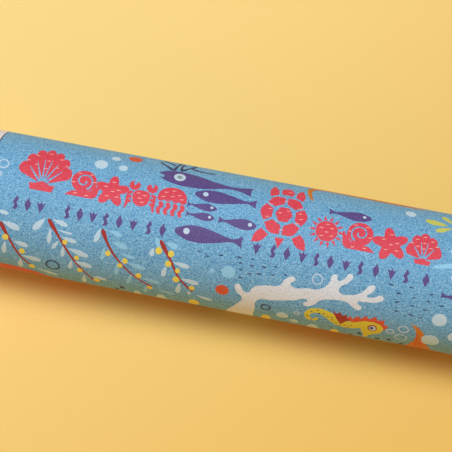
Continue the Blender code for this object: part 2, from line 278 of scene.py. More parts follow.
def placed(points, x, y, turn=0.0, size=1.0):
    """Points turned by an angle in degrees, sized, and moved to (x, y)."""
    cosine = math.cos(math.radians(turn)) * size
    sine = math.sin(math.radians(turn)) * size
    return [(x + px * cosine - py * sine, y + px * sine + py * cosine) for px, py in points]


def stretched(points, x, y, width, height):
    """Points given in shares of a width and a height, moved to (x, y)."""
    return [(x + px * width, y + py * height) for px, py in points]


def oval(x, y, width, height, turn=0.0, knots=8):
    angles = [2 * math.pi * i / knots for i in range(knots)]
    points = [(width / 2 * math.cos(a), height / 2 * math.sin(a)) for a in angles]
    return placed(points, x, y, turn)


def stroke(points, widths):
    """A brush stroke along a line of points, with its width at each of them."""
    left, right = [], []
    for i, (x, y) in enumerate(points):
        before, after = points[max(i - 1, 0)], points[min(i + 1, len(points) - 1)]
        along = Vector((after[0] - before[0], after[1] - before[1])).normalized()
        half = widths[i] / 2
        left.append((x - along.y * half, y + along.x * half))
        right.append((x + along.y * half, y - along.x * half))
    return left + right[::-1]


def roll_on(name, sheet, material, level):
    """Cuts a sheet's shapes into strips, thickens them to a film and rolls it on the tube."""
    bpy.ops.object.select_all(action="DESELECT")
    for curve in sheet:
        shape = bpy.data.objects.new(name, curve)
        bpy.context.scene.collection.objects.link(shape)
        shape.select_set(True)
        bpy.context.view_layer.objects.active = shape
    bpy.ops.object.convert(target="MESH")
    if len(sheet) > 1:
        bpy.ops.object.join()
    piece = bpy.context.object
    piece.name = name
    heights = [vertex.co.y for vertex in piece.data.vertices]
    first, last = math.ceil(min(heights) / STRIP), math.floor(max(heights) / STRIP)
    bpy.ops.object.mode_set(mode="EDIT")
    for line in range(first, last + 1):
        bpy.ops.mesh.select_all(action="SELECT")
        bpy.ops.mesh.bisect(plane_co=(0, line * STRIP, 0), plane_no=(0, 1, 0))
    bpy.ops.object.mode_set(mode="OBJECT")
    film = piece.modifiers.new("film", "SOLIDIFY")
    film.thickness = INK_SINK + level * INK_FILM
    film.offset = 1.0
    bpy.ops.object.modifier_apply(modifier="film")
    piece.matrix_world = SHEET_TO_BEND @ Matrix.Translation((0, 0, -INK_SINK))
    bpy.ops.object.transform_apply(location=True, rotation=True, scale=True)
    bend = piece.modifiers.new("roll", "SIMPLE_DEFORM")
    bend.deform_method = "BEND"
    bend.deform_axis = "Z"
    bend.angle = piece.dimensions.x / OUTER_RADIUS
    bpy.ops.object.modifier_apply(modifier="roll")
    lift = Matrix.Translation((0, 0, AXIS_HEIGHT + OUTER_RADIUS))
    piece.matrix_world = lift @ SHEET_TO_BEND.inverted()
    bpy.ops.object.transform_apply(location=True, rotation=True, scale=True)
    bpy.ops.object.shade_smooth_by_angle(angle=math.radians(30))
    return finish(piece, material, "printed_paper", "tube")


lap = []
draw(lap, [(-78.9, -78.3), (104.9, -78.3), (104.9, -70.5), (-78.9, -70.5)], "all")
roll_on("wrap_lap", lap, blue_paper, 1)

# Red sea animals and shells in a row along the front, stencilled, with short pink dashes.
red_ink = printed_ink("red_ink", "#DA4155", "#C23048", "#EC6C7B", 0.45)
pink_ink = printed_ink("pink_ink", "#F2A8A6", "#EE9090", "#F8C8C0", 0.4)
reds = []
pinks = []


def pink_marks(x, y, width, height, spots):
    for px, py in stretched(spots, x, y, width, height):
        mark = [(-0.9, -0.1), (-0.2, 0.22), (0.9, 0.12), (0.2, -0.18)]
        draw(pinks, placed(mark, px, py, 4.0), "all")


def scallop(x, y, width, height, ribs=7):
    """A fan shell of separate ribs that spread from a small hinge with two ears."""
    for rib in range(ribs):
        middle = math.radians(90 + 62 * (1 - 2 * rib / (ribs - 1)))
        half = math.radians(62 / (ribs - 1)) * 0.86
        reach = 0.93 + 0.07 * math.sin(middle)
        points = [
            (0.16 * math.cos(middle), 0.2 * math.sin(middle)),
            (0.6 * math.cos(middle - half), 0.6 * math.sin(middle - half)),
            (0.92 * reach * math.cos(middle - half), 0.92 * reach * math.sin(middle - half)),
            (reach * math.cos(middle), reach * math.sin(middle)),
            (0.92 * reach * math.cos(middle + half), 0.92 * reach * math.sin(middle + half)),
            (0.6 * math.cos(middle + half), 0.6 * math.sin(middle + half)),
        ]
        shares = [(0.56 * px, 0.98 * py - 0.42) for px, py in points]
        draw(reds, stretched(shares, x, y, width, height), (0,))
    ears = [(0.0, -0.3), (0.14, -0.36), (0.24, -0.36), (0.2, -0.5), (-0.2, -0.5),
            (-0.24, -0.36), (-0.14, -0.36)]
    draw(reds, stretched(ears, x, y, width, height), (2, 3, 4, 5))
    pink_marks(x, y, width, height, [
        (0.0, 0.42), (0.0, 0.2), (0.22, 0.3), (-0.22, 0.3), (0.36, 0.14), (0.19, 0.06),
        (-0.36, 0.14), (0.0, 0.0), (-0.19, 0.06)])


def starfish(x, y, size, turn=0.0):
    """Five broad round arms."""
    points = []
    for step in range(30):
        angle = 2 * math.pi * step / 30
        reach = 0.3 + 0.26 * ((1 + math.cos(5 * angle)) / 2) ** 0.9
        points.append((reach * math.sin(angle), reach * math.cos(angle)))
    draw(reds, placed(points, x, y - 0.03 * size, turn, size))
    pink_marks(x, y, size, size, [
        (0.0, 0.28), (-0.22, 0.08), (0.2, 0.02), (0.02, -0.06), (-0.12, -0.24), (0.2, -0.22)])


def snail(x, y, size, facing):
    """A solid round shell with a thin coil left unprinted, on a foot with two feelers."""
    coil = []
    for step in range(15):
        angle = math.radians(-60 + 430 * step / 14)
        reach = 0.33 - 0.25 * step / 14
        coil.append((reach * math.cos(angle), 0.12 + reach * math.sin(angle)))
    rim = [(px / size, py / size) for px, py in oval(0, 0.12 * size, 0.86 * size, 0.86 * size)]
    line = stroke(coil, [0.055] * len(coil))
    draw(reds, stretched(rim, x, y, facing * size, size),
         hole=stretched(line, x, y, facing * size, size))
    foot = [(-0.56, -0.48), (-0.3, -0.3), (0.1, -0.3), (0.36, -0.14), (0.36, 0.1), (0.44, 0.12),
            (0.47, -0.02), (0.55, 0.1), (0.6, 0.06), (0.57, -0.16), (0.54, -0.36), (0.4, -0.48)]
    draw(reds, stretched(foot, x, y, facing * size, size), (0, 11))
    pink_marks(x, y, facing * size, size, [
        (0.2, 0.42), (-0.34, 0.02), (-0.2, 0.4), (0.38, 0.14), (-0.2, -0.38), (0.2, -0.4)])


def crab(x, y, width, height):
    """An oval body between two claws and six legs, all stencilled apart."""
    body = [(0.0, 0.2), (0.24, 0.14), (0.3, -0.08), (0.17, -0.32), (-0.17, -0.32),
            (-0.3, -0.08), (-0.24, 0.14)]
    draw(reds, stretched(body, x, y, width, height))
    claw = [(0.13, 0.28), (0.27, 0.17), (0.42, 0.2), (0.5, 0.34), (0.45, 0.48), (0.33, 0.53),
            (0.36, 0.4), (0.29, 0.35), (0.23, 0.5), (0.13, 0.42)]
    for side in (-1, 1):
        draw(reds, stretched(claw, x, y, side * width, height), (5, 7, 8))
        for leg in range(3):
            drop = 0.15 * leg
            line = [(0.33, 0.08 - drop), (0.45, 0.05 - 1.1 * drop), (0.5, -0.14 - 1.2 * drop)]
            limb = stroke(line, (0.11, 0.12, 0.05))
            draw(reds, stretched(limb, x, y, side * width, height), "all")
    pink_marks(x, y, width, height, [(-0.12, 0.08), (0.1, 0.03), (-0.05, -0.1), (0.06, -0.22)])


def jellyfish(x, y, size):
    """A round bell with a scalloped hem over four wavy arms."""
    bell = [
        (-0.5, 0.02), (-0.42, 0.34), (0.0, 0.54), (0.42, 0.34), (0.5, 0.02), (0.38, -0.05),
        (0.25, 0.02), (0.13, -0.05), (0.0, 0.02), (-0.13, -0.05), (-0.25, 0.02), (-0.38, -0.05)]
    draw(reds, stretched(bell, x, y, size, size), (0, 4, 6, 8, 10))
    for arm in (-0.36, -0.12, 0.12, 0.36):
        line = [(arm, -0.1), (arm + 0.05, -0.22), (arm - 0.03, -0.36), (arm + 0.03, -0.5)]
        draw(reds, placed(stroke(line, (0.12, 0.14, 0.13, 0.06)), x, y, size=size))
    pink_marks(x, y, size, size, [
        (0.0, 0.4), (-0.24, 0.3), (0.22, 0.26), (0.0, 0.18), (-0.3, 0.12), (0.32, 0.12)])


def urchin(x, y, size):
    """A round body inside a ring of short spines."""
    draw(reds, oval(x, y, 0.66 * size, 0.66 * size))
    for spine in range(14):
        spike = [(0.36, -0.05), (0.54, 0.0), (0.36, 0.05)]
        draw(reds, placed(spike, x, y, 360 * spine / 14, size), "all")
    pink_marks(x, y, size, size, [
        (0.0, 0.22), (-0.16, 0.08), (0.15, 0.1), (0.0, -0.04), (-0.14, -0.18), (0.16, -0.14)])


def turtle(x, y, size):
    """A turtle from above: a round shell of plates, four flippers, a head and a tail."""
    draw(reds, oval(x, y, 0.36 * size, 0.4 * size, knots=6), "all")
    for plate in range(6):
        middle = math.radians(60 * plate)
        points = []
        for reach, half in ((0.255, 24), (0.43, 26.5), (0.475, 0), (0.43, -26.5), (0.255, -24)):
            angle = middle + math.radians(half)
            points.append((1.02 * reach * math.cos(angle), 1.06 * reach * math.sin(angle)))
        draw(reds, placed(points, x, y, size=size), (0, 1, 3, 4))
    head = [(-0.1, 0.54), (-0.13, 0.7), (0.0, 0.82), (0.13, 0.7), (0.1, 0.54), (0.0, 0.56)]
    draw(reds, placed(head, x, y, size=size), (0, 4))
    tail = [(-0.1, -0.53), (0.1, -0.53), (0.03, -0.68), (0.0, -0.74), (-0.03, -0.68)]
    draw(reds, placed(tail, x, y, size=size), (0, 1, 3))
    front = [(0.18, 0.52), (0.34, 0.43), (0.37, 0.6), (0.3, 0.84), (0.2, 0.7)]
    back = [(0.24, -0.5), (0.4, -0.39), (0.51, -0.51), (0.55, -0.7), (0.38, -0.66)]
    for side in (-1, 1):
        draw(reds, stretched(front, x, y, side * size, size), (0, 1, 3))
        draw(reds, stretched(back, x, y, side * size, size), (0, 1, 3))
    pink_marks(x, y, size, size, [
        (0.3, 0.2), (0.33, 0.08), (-0.3, 0.2), (0.0, 0.36), (0.08, 0.1), (-0.08, 0.02),
        (-0.33, -0.12), (0.3, -0.16), (0.0, -0.36), (0.36, -0.05), (-0.3, 0.08), (0.05, 0.68)])


scallop(-59.2, 6.6, 19.5, 17.6)
snail(-44.9, 3.2, 10.2, 1)
starfish(-34.4, 3.1, 11.0)
crab(-23.8, 2.9, 10.2, 10.8)
jellyfish(-13.0, 3.0, 10.6)
turtle(26.6, 6.2, 17.2)
urchin(42.3, 2.9, 11.8)
snail(54.1, 3.0, 10.4, -1)
starfish(64.9, 2.9, 11.6, 12)
scallop(76.6, 2.9, 12.4, 11.4, 5)

# Purple fish, most of them in a shoal between the red rows.
purple_ink = printed_ink("purple_ink", "#5A4A8C", "#483C74", "#7566A2", 0.5)
white_ink = printed_ink("white_ink", "#BED3ED", "#A7C4E1", "#D6E2F5", 0.5)
grey_ink = printed_ink("grey_ink", "#7F9AA0", "#6E8890", "#93AAAE", 0.4)
fishes = []
eyes = []
pupils = []


def fish(x, y, length, height, facing, eye, waist=0.22):
    """A fish whose nose is at (x, y). It faces -1, left, or 1, right."""
    half = height / 2
    points = [
        (0, 0), (0.09, 0.6), (0.3, 1.0), (0.58, 0.66), (0.82, waist), (0.87, 0.24), (1.0, 0.74),
        (0.985, 0.0), (1.0, -0.7), (0.87, -0.2), (0.82, -waist), (0.58, -0.7), (0.3, -1.0),
        (0.09, -0.62)]
    body = [(x - facing * px * length, y + py * half) for px, py in points]
    draw(fishes, body, (6, 8))
    draw(eyes, oval(x - facing * 0.17 * length, y + 0.14 * half, 2 * eye, 2 * eye))


big_fish = [
    (-20.2, 15.2), (-17, 17.4), (-12, 18.1), (-6, 17.3), (0, 15.6), (6, 14.6), (9.5, 14.8),
    (14.2, 15.9), (13.7, 13.5), (14.0, 11.2), (9.5, 12.8), (5.5, 13.0), (-1, 11.2), (-7, 10.3),
    (-13, 10.5), (-17.5, 11.8), (-19.6, 12.9), (-17.8, 13.4)]
draw(fishes, big_fish, (0, 7, 9, 16))
draw(eyes, oval(-12.4, 14.5, 4.2, 4.2))
draw(pupils, oval(-12.4, 14.5, 1.8, 1.8))
fish(-5.6, 8.1, 22.2, 5.4, -1, 0.95)
fish(3.2, 3.2, 10.6, 2.9, 1, 0.5)
fish(3.0, -0.45, 10.2, 2.9, 1, 0.5)
fish(18.0, -0.5, 13.6, 3.9, 1, 0.7)
fish(-9.8, -7.0, 24.2, 5.8, -1, 1.1)
fish(57.2, 11.3, 15.2, 4.3, 1, 0.6)
for x, y, length, facing in (
        (-66, 66, 15, -1), (-58, 60, 11, -1), (-40, 70, 19, 1), (-6, 66, 16, -1),
        (14, 60, 12, -1), (20, 68, 13, -1), (84, 58, 22, 1), (70, 48, 12, 1), (98, 8, 11, 1),
        (97, -12, 12, 1)):
    fish(x, y, length, 0.26 * length, facing, 0.045 * length)

# A row of small purple weeds and shells under each red row.
weed = [(-0.9, -2.4), (-0.25, -1.2), (-0.85, 0.2), (-0.3, 1.4), (0.1, 2.5), (1.0, 1.3),
        (0.45, 0.1), (1.05, -1.2), (0.5, -2.4)]
spindle = [
    (0.0, -2.5), (0.7, -1.3), (1.15, 0.1), (0.55, 1.4), (0.0, 2.5), (-0.55, 1.4), (-1.15, 0.1),
    (-0.7, -1.3)]
tuft = [(0.0, -2.4), (0.75, -0.7), (1.7, 1.6), (0.6, 1.0), (0.1, 2.4), (-0.5, 1.0),
        (-1.7, 1.6), (-0.75, -0.7)]
MARKS_LINE = -7.8         # how high on the sheet the row runs
small_marks = []
for index, x in enumerate((
        -67, -62.5, -57.8, -48.3, -43.7, -39, -34.5, -29.5, -24.5, -19, -14, 19.5, 25.2, 30.2,
        35.7, 40.5, 45.5, 51, 56, 61.5, 67, 72, 79)):
    outline, corners = ((weed, (0, 4, 8)), (spindle, (0, 4)), (tuft, (0, 2, 4, 6)))[index % 3]
    draw(small_marks, placed(outline, x, MARKS_LINE, 0, 0.98), corners)
roll_on("small_purple_marks", small_marks, purple_ink, 1)

# Sprigs of weed: a dark red stem with pale leaves on one side and yellow berries.
stem_ink = printed_ink("dark_red_ink", "#A23430", "#8A2A2C", "#B84C3C", 0.4)
yellow_ink = printed_ink("yellow_ink", "#E8D558", "#DBBF3B", "#EBE39E", 0.4)
leaf_ink = printed_ink("pale_leaf_ink", "#BCDAF0", "#A6C8DF", "#CEE4F3", 0.5)
sea_ink = printed_ink("light_blue_ink", "#8ECAEE", "#78B6E0", "#A8DAF4", 0.5)
stems = []
berries = []
leaves = []
blue_leaves = []


def leaf_at(sheet, x, y, length, width, turn, shift=(0, 0)):
    """A drop-shaped leaf round its middle, with its stalk at the left before it is turned.

    Rounding an outline makes it shorter and fatter, and the first two lines make up for that.
    """
    length *= 1.12
    half = 0.47 * width
    points = [(-0.5 * length, 0), (-0.15 * length, 0.75 * half), (0.25 * length, half),
              (0.5 * length, 0), (0.25 * length, -half), (-0.15 * length, -0.75 * half)]
    draw(sheet, placed(points, x + shift[0], y + shift[1], turn), (0,))


def sprig(stem, fruit, foliage, sheet=leaves, shift=(0, 0)):
    """A tapered stem through its points, with round berries and leaves that go on a sheet."""
    line = [(x + shift[0], y + shift[1]) for x, y in stem]
    draw(stems, stroke(line, [0.7, 0.85, 0.7, 0.55, 0.4][:len(line) - 1] + [0.3]))
    for x, y, radius in fruit:
        draw(berries, oval(x + shift[0], y + shift[1], 2 * radius, 2.2 * radius))
    for x, y, length, width, turn in foliage:
        leaf_at(sheet, x, y, length, width, turn, shift)


short_sprig = (
    [(-71.3, -15.8), (-68, -21), (-63.5, -29), (-59.5, -34)],
    [(-69, -21.3, 1.1), (-62.9, -26.3, 1.1), (-59.6, -34.3, 1.2)],
    [(-67.4, -16.3, 6, 2.4, -15), (-71, -12, 4, 1.5, -8), (-63.4, -22.9, 5, 2, -12),
     (-69.4, -26, 5.5, 1.8, -95), (-59.6, -29, 6.5, 2.3, -8), (-63.8, -33.5, 6, 2, -95),
     (-54, -36.8, 7, 2, -20)])
long_sprig = (
    [(-54.3, -11.5), (-50, -17), (-44.5, -25), (-40.5, -30.5), (-36, -37)],
    [(-47.5, -18.8, 0.9), (-42.9, -24.5, 0.9), (-41.7, -30.7, 1.0), (-35.6, -35.6, 1.2)],
    [(-57.4, -13.9, 5.5, 2.3, -128), (-50, -12, 5, 1.8, -14), (-53.2, -17.5, 5.3, 1.6, -92),
     (-48.1, -15.1, 5, 0.8, -5), (-46.1, -17.6, 5, 1.7, -10), (-42.6, -22, 7, 2.2, -14),
     (-50.8, -20.5, 4, 1.3, -120), (-48, -22.8, 4.5, 1.5, -95), (-40.6, -27, 6, 2.3, -12),
     (-45, -28.4, 4.5, 1.6, -100), (-34.6, -33.5, 5, 2, -12), (-40.4, -36.7, 7, 1.8, -95)])
sea_sprig = (
    [(-34.8, -11.5), (-32.5, -16), (-28, -22), (-20.5, -29), (-15, -32.5)],
    [(-31.8, -20, 1.0), (-27.1, -24.2, 0.9), (-25.5, -21.8, 1.0), (-20.2, -27.4, 1.1),
     (-16, -33.3, 1.0)],
    [(-30.2, -12, 4.5, 1.7, -15), (-28, -16, 5, 2, -12), (-33.5, -20.4, 5, 1.4, -95),
     (-24.6, -19.6, 4.5, 1.2, -8), (-21.3, -23, 6, 2, -8), (-28.2, -26, 6, 1.5, -95),
     (-23.4, -30, 6, 1.6, -105), (-15.6, -28.8, 6, 2, -10), (-17.6, -35.2, 5.4, 1.6, -95),
     (-10, -34.5, 6, 1.5, -12)])
berry_sprig = (
    [(-14, -11.5), (-9.5, -18), (-5.5, -25), (-0.3, -30.5)],
    [(-14.1, -15.3, 1.2), (-9.6, -15.6, 1.1), (-10.1, -19.6, 1.1), (-6.5, -21.7, 0.9),
     (-6.7, -25.7, 1.2), (-0.8, -28.5, 1.0)],
    [(-16.3, -16.2, 3, 1.7, -95), (-5.6, -19, 5.5, 1.9, -8), (-11.2, -23, 4.5, 1.8, -100),
     (-1.8, -25.4, 6, 2.2, -8), (-5.6, -30.2, 5.6, 1.9, -95), (-1.6, -31.8, 2, 1.4, -90),
     (4, -33.3, 5.5, 1.8, -18)])
sprig(*short_sprig)
sprig(*long_sprig)
sprig(*sea_sprig, sheet=blue_leaves)
sprig(*berry_sprig)
sprig(*long_sprig, shift=(28, 74))
sprig(*berry_sprig, shift=(-44, 72))
sprig(*short_sprig, shift=(118, 76))
sprig(*sea_sprig, sheet=blue_leaves, shift=(90, 82))
leaf_at(leaves, -36.2, -13.9, 5, 1.8, -105)
leaf_at(blue_leaves, -14.8, -12.3, 3.6, 2.2, -60)
leaf_at(blue_leaves, -9.8, -12.5, 4, 2.2, -15)

# Bubbles and pebbles: discs and rings, and short navy dashes for ripples.
navy_ink = printed_ink("navy_ink", "#343C66", "#2A3056", "#4A5480", 0.4)
orange_ink = printed_ink("orange_red_ink", "#D3573A", "#BD4630", "#DF7554", 0.4)
pale_rings = []
dark_rings = []
orange_discs = []
dashes = []


def dots(sheet, circles):
    for x, y, radius in circles:
        draw(sheet, oval(x, y, 2 * radius, 2 * radius))


def hoops(sheet, line, circles):
    """Rings: circles with round holes that leave a line of the given width."""
    for x, y, radius in circles:
        bore = 2 * (radius - line)
        draw(sheet, oval(x, y, 2 * radius, 2 * radius), hole=oval(x, y, bore, bore))


dots(leaves, (
    (-40.9, 13.6, 2.4), (-36.6, 19, 1.6), (-32.9, 13.7, 1.6), (70.7, 19, 1.9), (32.5, -35, 2.2),
    (37, -38.3, 1.6), (86.5, -21.3, 2.6), (85.3, -32.5, 3.3), (93, -28, 2.2), (-66, 34, 2.0),
    (-72, 40, 1.4), (-20, 42, 2.2), (4, 50, 1.5), (34, 66, 2.4), (50, 70, 1.6), (96, 30, 2.0),
    (92, 70, 2.6), (-74, 56, 2.2), (100, -4, 1.4), (87.3, 3.9, 1.3), (88.5, -5.4, 1.2)))
dots(orange_discs, (
    (-30, 21.8, 2.5), (10, -26.5, 2.4), (-70, 48, 2.0), (-24, 56, 2.3), (44, 38, 2.2),
    (92, 46, 2.4)))
dots(blue_leaves, (
    (11.3, -18.3, 2.4), (5.5, -19, 0.9), (-46, 44, 2.2), (28, 44, 1.4), (64, 66, 2.4)))
hoops(pale_rings, 0.42, (
    (42.3, -14.7, 2.0), (37.4, -31.4, 1.1), (75.3, -28.9, 1.9), (71, -31.5, 1.5),
    (75.3, -34.5, 2.3), (-74.4, 5.4, 1.9), (-75, 1.2, 1.0), (-54, 36, 1.8), (8, 42, 2.0),
    (78, 72, 2.2), (98, -36, 1.8)))
hoops(dark_rings, 0.55, ((-51.7, -30.8, 2.7), (26.2, -31.5, 1.9), (-12, 46, 2.4), (56, 60, 2.2)))
ripples = [
    (0.1, 12.8), (3.2, 13.9), (7.7, 12.7), (14.3, 12.2), (18.9, 11.9), (15, 14.1), (19, 14.3),
    (23.3, 14), (27.2, 13.1), (15.5, 16.5), (18.8, 17.4), (21.9, 16.8), (26.7, 16.3), (31.2, 15.3),
    (15.7, 19.5), (67.7, 11.6), (74.6, 11.3), (81.9, 12.4), (86.4, 12.3), (70.7, 14.1),
    (76.3, 14.7), (81.3, 15), (85.9, 15.8), (70.9, 17.3), (76.2, 17.7), (80.8, 18.4), (71.2, 20.9),
    (76.4, 21.4), (79.9, 21.8), (91, 13.4), (95.4, 14.6), (91.2, 17.2), (96, 18.4), (100, 16)]
ripples += [(x + shift, y - rise) for x, y in ripples[:15] for shift, rise in ((-66, 62), (62, 60))]
for index, (x, y) in enumerate(ripples):
    mark = [(-0.8, 0.12), (0.1, 0.26), (0.85, 0.0), (0.2, -0.22), (-0.7, -0.14)]
    draw(dashes, placed(mark, x, -y, -6 + 7 * (index % 3), 0.9 + 0.1 * (index % 4)), "all")
for points in (
        [(-21.2, 24.2), (-19, 21.5), (-15.4, 18.2)], [(-20.4, 27.4), (-18, 25.2), (-15.4, 22.8)],
        [(-13.6, 27), (-14.6, 22.5), (-15.2, 18.2)], [(-12.2, 26.4), (-12.9, 22), (-12.4, 18.6)],
        [(-8.2, 24.2), (-10.6, 21.6), (-12, 19.2)], [(-8, 27.6), (-9, 24.8), (-9.6, 22.4)],
        [(-0.6, 21.4), (-4.6, 21.2), (-9.2, 22.0)]):
    draw(dashes, stroke(points, (0.35, 0.75, 0.5)))
roll_on("navy_dashes", dashes, navy_ink, 1)

# A pale branch coral that leans in from below, then a small yellow seahorse.
coral_ink = printed_ink("pale_coral_ink", "#D9E2F0", "#BBBDC7", "#E7F4FF", 0.5)
coral = []
draw(coral, [
    (7, -67), (10.4, -62), (12, -55), (12.3, -41), (15.4, -33.5), (17.4, -28.6), (15.2, -25.8),
    (14.4, -22.8), (15.6, -22.2), (17.2, -24.6), (19, -25.4), (20.8, -22.4), (25, -20.7),
    (29.6, -19.7), (31.4, -16.8), (33.8, -15.4), (34.8, -16.4), (33.4, -18.2), (34.2, -19.2),
    (40, -18.6), (43.6, -18.2), (46.6, -15.0), (47.2, -12.2), (48.6, -11.8), (49.4, -13.8),
    (51.6, -12.4), (52.9, -10.6), (54.2, -11.2), (53.2, -13.6), (50.4, -16.2), (50.8, -18.0),
    (54.4, -18.2), (58.4, -16.2), (60.8, -13.2), (62.4, -13.4), (61.8, -15.6), (60.2, -17.4),
    (62.6, -17.4), (65.2, -16.2), (66, -17.6), (63.6, -19.2), (59.4, -19.8), (57.4, -20.4),
    (59.2, -22.2), (58.6, -23.6), (56.2, -22.8), (54, -21.3), (49.4, -21.2), (44.5, -22.7),
    (42.6, -25.2), (39.8, -26.4), (39, -25.2), (40.4, -23.8), (35, -25), (28, -26.8), (23, -28),
    (22.4, -34), (22, -42), (22.6, -55), (24.6, -62), (29, -66), (23, -68), (18, -65.6),
    (13, -68.4)])
roll_on("pale_coral", coral, coral_ink, 1)
horse_ink = printed_ink("yellow_seahorse_ink", "#D8CD3C", "#C6AB2C", "#E0E47E", 0.4)
rust_ink = printed_ink("orange_brown_ink", "#CC7A2C", "#AE6224", "#E0964A", 0.4)
horse = []
spine = [
    (44.7, -31.6), (44.3, -33.2), (42.6, -33.6), (41.2, -31.6), (41.7, -29.0), (44.2, -27.7),
    (47.4, -28.3), (50.4, -30.3), (53.2, -32.2), (56.4, -32.6), (59.6, -31.2), (62.4, -29.8),
    (65.4, -29.9), (67.8, -31.4)]
draw(horse, stroke(spine, (0.7, 1.2, 1.6, 1.9, 2.2, 2.5, 3.2, 4.0, 4.6, 4.6, 4.4, 4.6, 4.4, 2.6)))
roll_on("seahorse_body", horse, horse_ink, 1)
snout = []
draw(snout, [
    (60.2, -31), (68.6, -31), (67.8, -34), (65.4, -36.2), (63.9, -38.6), (63.8, -41.4),
    (62.3, -41.4), (62.2, -38), (61, -34.6)], (0, 1, 5, 6))
roll_on("seahorse_snout", snout, horse_ink, 1.25)
crest = []
draw(crest, [
    (54.6, -29.6), (56, -27.2), (57.2, -28.4), (58.6, -26.4), (59.8, -27.6), (61.4, -25.6),
    (62.8, -27), (64.8, -25.2), (65.8, -26.8), (68.2, -26.2), (68.2, -28.2), (70, -29),
    (68.8, -31.4), (67.4, -29), (64.6, -28), (61, -28.4), (58, -30.2)], "all")
roll_on("seahorse_crest", crest, orange_ink, 1.5)
back_fin = []
draw(back_fin, [
    (49.6, -26), (51.4, -27.4), (52.2, -26.2), (53.4, -27.8), (54.8, -26.8), (55.2, -28.8),
    (56.6, -29.2), (54.6, -31), (53.4, -33), (51.8, -30.4)], "all")
for x, y in (
        (42.4, -28.6), (44.6, -27.3), (46.8, -28.6), (45.2, -28.9), (48.4, -29.6),
        (50.2, -31.2), (49.8, -29.8), (51.8, -32.6), (53.2, -34), (54.8, -33.2),
        (56.2, -34.2), (57.2, -32.6), (52.8, -31.3), (41.3, -31.4), (43.1, -34)):
    draw(dark_rings, oval(x, y, 0.9, 0.4, -20, 6))
roll_on("seahorse_fin", back_fin, stem_ink, 1.8)
seahorse_eye = []
draw(seahorse_eye, oval(64.6, -31.6, 3.4, 3.9))
roll_on("seahorse_eye", seahorse_eye, stem_ink, 2)
draw(eyes, oval(64.7, -31.7, 2.5, 3.0))
seahorse_pupil = []
draw(seahorse_pupil, oval(64.4, -31.6, 1.2, 1.5))

# Fronds, leaves and the reef, which run on round the back.
frond = []
draw(frond, stroke([
    (35.6, 15.4), (34.2, 19.8), (34.8, 25), (39, 28.6), (50, 28.6), (62, 27.6), (76, 25.8)],
    (0.3, 1.5, 2.2, 3.4, 4.4, 3.6, 0.5)))
draw(frond, [
    (77.3, -25.2), (79.4, -28), (80.2, -33), (78.6, -40), (77.2, -50), (78.6, -58), (82, -63),
    (86.6, -58), (88.2, -50), (87.4, -43), (84.6, -36), (83.2, -30.6), (80.6, -26.8)], (0,))
for x, length in ((-76, 26), (-8, 22), (36, 24), (96.5, 30)):
    draw(frond, stroke([
        (x, -76), (x + 3, -76 + 0.4 * length), (x - 1, -76 + 0.75 * length),
        (x + 2, -76 + length)], (2.6, 4.2, 3.0, 0.6)))
roll_on("orange_fronds", frond, rust_ink, 1)
fin_rays = []
for x_top, y_top, x_low in ((80.4, -30, 80.6), (82.2, -32, 84.8)):
    draw(fin_rays, stroke([
        (x_top, y_top), (x_top + 0.8, y_top - 9), (x_low, -54)], (0.2, 0.5, 0.3)))
roll_on("frond_veins", fin_rays, orange_ink, 2)
lime_ink = printed_ink("yellow_green_ink", "#C9CB62", "#AEB54D", "#DDDB92", 0.4)
lime = []
for x, y, length, width, turn in (
        (80.2, 15.9, 7.4, 2.9, 172), (83.9, 19.4, 5.2, 2.2, 130), (82.8, 12.9, 5.8, 2.1, 206),
        (90.6, 17.6, 6.8, 2.6, 28), (91.4, 12.2, 6.4, 2.4, -22), (87.6, 9.4, 5.6, 2.2, -78)):
    leaf_at(lime, x, y, length, width, turn)
roll_on("yellow_green_leaves", lime, lime_ink, 1)
streak = []
draw(streak, stroke([(80.6, -2.9), (84, -2.0), (88, -1.2), (94, -1.4)], (0.4, 1.5, 1.9, 0.5)))
draw(streak, stroke([(85.5, 4.2), (90, 3.6), (96, 4.8)], (0.4, 1.5, 0.5)))
roll_on("pale_streaks", streak, sea_ink, 1)
reef = []
hills = [
    (-78.8, -38), (-70, -37), (-62, -38), (-57, -40.4), (-52, -45.6), (-44, -52), (-30, -57),
    (-14, -54), (2, -59), (18, -62), (32, -56), (48, -53), (62, -58), (76, -62), (90, -56),
    (104.8, -50)]
draw(reef, hills + [(104.8, -78.4), (-78.8, -78.4)], (0, 15, 16, 17))
roll_on("red_reef", reef, orange_ink, 0.8)
for x, height, width in (
        (-21, -38.6, 2.6), (-12, -37.6, 3.6), (44, -37.8, 3.6), (-66, -44, 4),
        (-38, -44, 3.4), (28, -46, 3.6), (68, -48, 4.2), (94, -44, 3.8)):
    draw(leaves, [
        (x - width / 2, height - 3), (x, height), (x + width / 2, height - 3),
        (x + 0.42 * width, height - 24), (x - 0.42 * width, height - 24)], (3, 4))
for x, y, width, height in (
        (0.2, -39.5, 4, 6), (26.8, -40.8, 3.5, 6.5), (52, -42, 3, 6.2), (-52, -60, 7, 4),
        (-30, -66, 6, 5), (10, -68, 8, 5), (56, -66, 7, 5), (84, -70, 8, 4)):
    draw(berries, oval(x, y, width, height))
for x, y in (
        (-28.4, -41.5), (-26.4, -38.2), (60.8, -38.2), (67.6, -40.4), (71.6, -39),
        (76.4, -41.6), (58, -43)):
    draw(dark_rings, oval(x, y, 1.7, 2.3))
